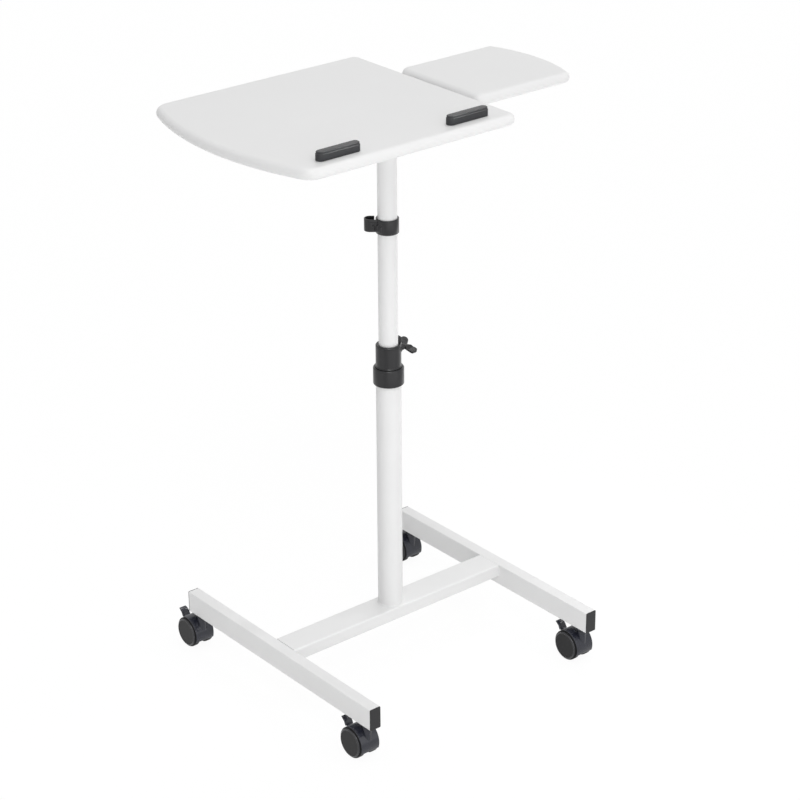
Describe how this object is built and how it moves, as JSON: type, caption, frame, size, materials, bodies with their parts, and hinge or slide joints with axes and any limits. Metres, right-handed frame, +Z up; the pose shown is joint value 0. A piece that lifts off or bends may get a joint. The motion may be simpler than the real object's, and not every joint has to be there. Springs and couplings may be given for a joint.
{
  "type": "mobile laptop stand",
  "caption": "Height-adjustable laptop stand on twin-wheel casters: H-shaped base, telescopic column, wide tilting top with edge stops and a small level side top.",
  "frame": {"origin": "on the floor, under the middle of the bounding box", "axes": "+Z up; the user sits on the -Y side; +X runs towards the side top"},
  "size_m": [0.6846, 0.5548, 1.0566],
  "materials": {
    "white_powder_coat": "smooth semi-gloss powder coat",
    "white_laminate": "white laminate on fibreboard, bullnose edge",
    "dark_grey_plastic": "satin injection moulding",
    "charcoal_rubber": "matt",
    "black_nylon": "smooth moulded nylon",
    "zinc_plated_steel": "zinc plated"
  },
  "bodies": {
    "base": {"foot_left": "white_powder_coat", "foot_right": "white_powder_coat", "crossbar": "white_powder_coat", "foot_cap_front_left": "dark_grey_plastic", "foot_cap_front_right": "dark_grey_plastic", "foot_cap_back_left": "dark_grey_plastic", "foot_cap_back_right": "dark_grey_plastic", "column_lower_tube": "white_powder_coat", "column_insert": "zinc_plated_steel", "column_bolt": "zinc_plated_steel", "collar_ring": "dark_grey_plastic", "collar_sleeve": "dark_grey_plastic", "caster_stem_front_left": "zinc_plated_steel", "caster_stem_front_right": "zinc_plated_steel", "caster_stem_back_left": "zinc_plated_steel", "caster_stem_back_right": "zinc_plated_steel"},
    "wing_screw": {"wing_screw_stud": "zinc_plated_steel", "wing_screw_knob": "dark_grey_plastic"},
    "lift": {"column_upper_tube": "white_powder_coat", "guide_bush": "dark_grey_plastic", "head_beam": "white_powder_coat", "beam_cap_left": "dark_grey_plastic", "beam_cap_right": "dark_grey_plastic", "hinge_saddle_left": "white_powder_coat", "hinge_saddle_right": "white_powder_coat", "rest_bumper_left": "charcoal_rubber", "rest_bumper_right": "charcoal_rubber", "hinge_rod": "zinc_plated_steel", "side_saddle": "white_powder_coat", "side_top": "white_laminate"},
    "cable_clip": {"cable_clip": "dark_grey_plastic"},
    "main_top": {"main_top": "white_laminate", "stop_left": "charcoal_rubber", "stop_right": "charcoal_rubber", "tilt_bracket_left": "white_powder_coat", "tilt_bracket_right": "white_powder_coat"},
    "tilt_knob": {"tilt_knob": "dark_grey_plastic"},
    "caster_front_left": {"caster_hood_front_left": "dark_grey_plastic", "caster_axle_front_left": "zinc_plated_steel"},
    "wheel_left_front_left": {"wheel_left_front_left": "black_nylon"},
    "wheel_right_front_left": {"wheel_right_front_left": "black_nylon"},
    "pedal_front_left": {"brake_pedal_front_left": "dark_grey_plastic"},
    "caster_front_right": {"caster_hood_front_right": "dark_grey_plastic", "caster_axle_front_right": "zinc_plated_steel"},
    "wheel_left_front_right": {"wheel_left_front_right": "black_nylon"},
    "wheel_right_front_right": {"wheel_right_front_right": "black_nylon"},
    "pedal_front_right": {"brake_pedal_front_right": "dark_grey_plastic"},
    "caster_back_left": {"caster_hood_back_left": "dark_grey_plastic", "caster_axle_back_left": "zinc_plated_steel"},
    "wheel_left_back_left": {"wheel_left_back_left": "black_nylon"},
    "wheel_right_back_left": {"wheel_right_back_left": "black_nylon"},
    "pedal_back_left": {"brake_pedal_back_left": "dark_grey_plastic"},
    "caster_back_right": {"caster_hood_back_right": "dark_grey_plastic", "caster_axle_back_right": "zinc_plated_steel"},
    "wheel_left_back_right": {"wheel_left_back_right": "black_nylon"},
    "wheel_right_back_right": {"wheel_right_back_right": "black_nylon"},
    "pedal_back_right": {"brake_pedal_back_right": "dark_grey_plastic"}
  },
  "joints": [
    {"name": "height_slide", "type": "slide", "parent": "base", "child": "lift", "axis": [0, 0, 1], "range_m": [-0.19, 0.045]},
    {"name": "top_tilt", "type": "hinge", "parent": "lift", "child": "main_top", "pos_m": [0.01075, -0.0191, 1.0065], "axis": [1, 0, 0], "range_deg": [0, 35]},
    {"name": "wing_screw_turn", "type": "hinge", "parent": "base", "child": "wing_screw", "pos_m": [0.01075, -0.0191, 0.5905], "axis": [1, 0, 0], "continuous": true},
    {"name": "tilt_knob_turn", "type": "hinge", "parent": "lift", "child": "tilt_knob", "pos_m": [0.01075, -0.0191, 1.0065], "axis": [1, 0, 0], "continuous": true},
    {"name": "clip_turn", "type": "hinge", "parent": "lift", "child": "cable_clip", "pos_m": [0.01075, -0.0191, 0.8063], "axis": [0, 0, 1], "continuous": true},
    {"name": "swivel_front_left", "type": "hinge", "parent": "base", "child": "caster_front_left", "pos_m": [-0.23325, -0.2549, 0.0277], "axis": [0, 0, 1], "continuous": true},
    {"name": "roll_left_front_left", "type": "hinge", "parent": "caster_front_left", "child": "wheel_left_front_left", "pos_m": [-0.23325, -0.2344, 0.0277], "axis": [1, 0, 0], "continuous": true},
    {"name": "roll_right_front_left", "type": "hinge", "parent": "caster_front_left", "child": "wheel_right_front_left", "pos_m": [-0.23325, -0.2344, 0.0277], "axis": [1, 0, 0], "continuous": true},
    {"name": "brake_front_left", "type": "hinge", "parent": "caster_front_left", "child": "pedal_front_left", "pos_m": [-0.23325, -0.2144, 0.0397], "axis": [1, 0, 0], "range_deg": [-12, 0]},
    {"name": "swivel_front_right", "type": "hinge", "parent": "base", "child": "caster_front_right", "pos_m": [0.25475, -0.2549, 0.0277], "axis": [0, 0, 1], "continuous": true},
    {"name": "roll_left_front_right", "type": "hinge", "parent": "caster_front_right", "child": "wheel_left_front_right", "pos_m": [0.25475, -0.2344, 0.0277], "axis": [1, 0, 0], "continuous": true},
    {"name": "roll_right_front_right", "type": "hinge", "parent": "caster_front_right", "child": "wheel_right_front_right", "pos_m": [0.25475, -0.2344, 0.0277], "axis": [1, 0, 0], "continuous": true},
    {"name": "brake_front_right", "type": "hinge", "parent": "caster_front_right", "child": "pedal_front_right", "pos_m": [0.25475, -0.2144, 0.0397], "axis": [1, 0, 0], "range_deg": [-12, 0]},
    {"name": "swivel_back_left", "type": "hinge", "parent": "base", "child": "caster_back_left", "pos_m": [-0.23325, 0.2167, 0.0277], "axis": [0, 0, 1], "continuous": true},
    {"name": "roll_left_back_left", "type": "hinge", "parent": "caster_back_left", "child": "wheel_left_back_left", "pos_m": [-0.23325, 0.2372, 0.0277], "axis": [1, 0, 0], "continuous": true},
    {"name": "roll_right_back_left", "type": "hinge", "parent": "caster_back_left", "child": "wheel_right_back_left", "pos_m": [-0.23325, 0.2372, 0.0277], "axis": [1, 0, 0], "continuous": true},
    {"name": "brake_back_left", "type": "hinge", "parent": "caster_back_left", "child": "pedal_back_left", "pos_m": [-0.23325, 0.2572, 0.0397], "axis": [1, 0, 0], "range_deg": [-12, 0]},
    {"name": "swivel_back_right", "type": "hinge", "parent": "base", "child": "caster_back_right", "pos_m": [0.25475, 0.2167, 0.0277], "axis": [0, 0, 1], "continuous": true},
    {"name": "roll_left_back_right", "type": "hinge", "parent": "caster_back_right", "child": "wheel_left_back_right", "pos_m": [0.25475, 0.2372, 0.0277], "axis": [1, 0, 0], "continuous": true},
    {"name": "roll_right_back_right", "type": "hinge", "parent": "caster_back_right", "child": "wheel_right_back_right", "pos_m": [0.25475, 0.2372, 0.0277], "axis": [1, 0, 0], "continuous": true},
    {"name": "brake_back_right", "type": "hinge", "parent": "caster_back_right", "child": "pedal_back_right", "pos_m": [0.25475, 0.2572, 0.0397], "axis": [1, 0, 0], "range_deg": [-12, 0]}
  ]
}
